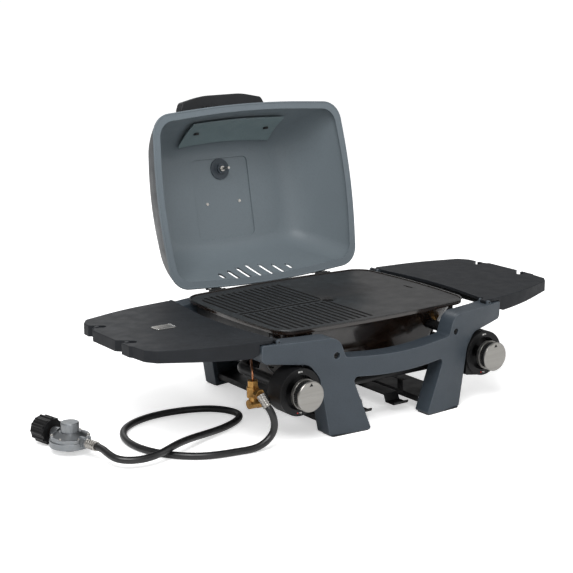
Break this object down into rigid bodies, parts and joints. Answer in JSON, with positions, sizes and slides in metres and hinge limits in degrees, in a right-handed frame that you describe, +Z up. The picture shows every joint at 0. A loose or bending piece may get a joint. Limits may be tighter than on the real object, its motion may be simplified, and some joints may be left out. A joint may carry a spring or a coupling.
{
  "type": "folding camp grill",
  "caption": "Low two-burner camp grill with bow frames, hinged domed lid, fold-up side tables, ribbed and flat cooking plate, sliding drip tray and gas hose.",
  "frame": {"origin": "on the ground, at the middle of the whole outline, hose and open lid included; the middle of the four feet is at x 0.06795, y -0.08903", "axes": "+X to the user's right, +Y to the rear, +Z up"},
  "size_m": [1.1678, 0.685, 0.594],
  "materials": {
    "frame_plastic": "fine textured slate moulding",
    "lid_paint": "slate paint on cast aluminium",
    "table_plastic": "fine grained black plastic",
    "enamel": "glossy brown-black enamel",
    "cast": "matte non-stick coating on a casting",
    "black_steel": "satin black",
    "bright_steel": "brushed",
    "black_plastic": "satin black",
    "nickel": "brushed nickel",
    "chrome": "polished",
    "brass": "dull brass",
    "copper": "copper tube",
    "rubber": "semi-gloss black rubber",
    "zinc": "cast zinc",
    "dial": "printed dial",
    "red": "red needle",
    "glass": "clear lens"
  },
  "bodies": {
    "root": {"base_rails": "black_steel", "brass_fitting": "brass", "cooking_plate": "cast", "copper_tube": "copper", "coupling_nipple": "brass", "firebox": "enamel", "firebox_standoffs": "black_steel", "foot_pads": "rubber", "frame_screws": "black_steel", "front_frame": "frame_plastic", "gas_hose": "rubber", "hose_ferrules": "bright_steel", "igniter_leads": "rubber", "left_bezel": "black_plastic", "left_burner": "bright_steel", "left_valve": "brass", "lid_hinge_brackets": "black_steel", "lid_hinge_pins": "bright_steel", "manifold": "bright_steel", "manifold_clamps": "black_steel", "rear_frame": "frame_plastic", "regulator_body": "zinc", "regulator_cap": "zinc", "right_bezel": "black_plastic", "right_burner": "bright_steel", "right_valve": "brass", "side_deflectors": "bright_steel", "table_hinge_pins": "bright_steel", "tray_guides": "black_steel"},
    "lid": {"lid_shell": "lid_paint", "lid_handle": "black_plastic", "handle_feet": "black_plastic", "heat_shield": "bright_steel", "shield_studs": "bright_steel", "lid_rivets": "bright_steel", "thermometer_case": "bright_steel", "thermometer_dial": "dial", "thermometer_lens": "glass", "thermometer_nut": "bright_steel", "lid_hinge_leaves": "black_steel", "hinge_leaf_screws": "black_steel"},
    "needle": {"thermometer_needle": "red"},
    "left_table": {"left_table": "table_plastic", "badge_plate": "bright_steel"},
    "right_table": {"right_table": "table_plastic"},
    "drip_tray": {"drip_tray": "black_steel", "tray_straps": "black_steel"},
    "coupling": {"coupling_nut": "black_plastic"},
    "left_push": {"left_spindle_collar": "bright_steel"},
    "left_knob": {"left_knob_grip": "black_plastic", "left_knob_face": "nickel", "left_knob_ring": "chrome", "left_knob_pointer": "black_plastic", "left_spindle": "bright_steel"},
    "right_push": {"right_spindle_collar": "bright_steel"},
    "right_knob": {"right_knob_grip": "black_plastic", "right_knob_face": "nickel", "right_knob_ring": "chrome", "right_knob_pointer": "black_plastic", "right_spindle": "bright_steel"}
  },
  "joints": [
    {"name": "lid_hinge", "type": "hinge", "parent": "root", "child": "lid", "pos_m": [0.06795, 0.12137, 0.2004], "axis": [-1, 0, 0], "range_deg": [-101.6, 0]},
    {"name": "left_table_fold", "type": "hinge", "parent": "root", "child": "left_table", "pos_m": [-0.19805, -0.08903, 0.199], "axis": [0, 1, 0], "range_deg": [0, 90]},
    {"name": "right_table_fold", "type": "hinge", "parent": "root", "child": "right_table", "pos_m": [0.33395, -0.08903, 0.199], "axis": [0, -1, 0], "range_deg": [0, 90]},
    {"name": "drip_tray_slide", "type": "slide", "parent": "root", "child": "drip_tray", "axis": [0, -1, 0], "range_m": [0, 0.14]},
    {"name": "coupling_spin", "type": "hinge", "parent": "root", "child": "coupling", "pos_m": [-0.54005, -0.09203, 0.0272], "axis": [-0.2079, 0.9781, 0], "continuous": true},
    {"name": "needle_turn", "type": "hinge", "parent": "lid", "child": "needle", "pos_m": [0.06795, 0.33223, 0.42397], "axis": [0, -0.9796, 0.2011], "range_deg": [0, 250]},
    {"name": "left_knob_push", "type": "slide", "parent": "root", "child": "left_push", "axis": [0, 1, 0], "range_m": [0, 0.003]},
    {"name": "left_knob_turn", "type": "hinge", "parent": "left_push", "child": "left_knob", "pos_m": [-0.16555, -0.33903, 0.1015], "axis": [0, -1, 0], "range_deg": [0, 200]},
    {"name": "right_knob_push", "type": "slide", "parent": "root", "child": "right_push", "axis": [0, 1, 0], "range_m": [0, 0.003]},
    {"name": "right_knob_turn", "type": "hinge", "parent": "right_push", "child": "right_knob", "pos_m": [0.30145, -0.33903, 0.1015], "axis": [0, -1, 0], "range_deg": [0, 200]}
  ]
}
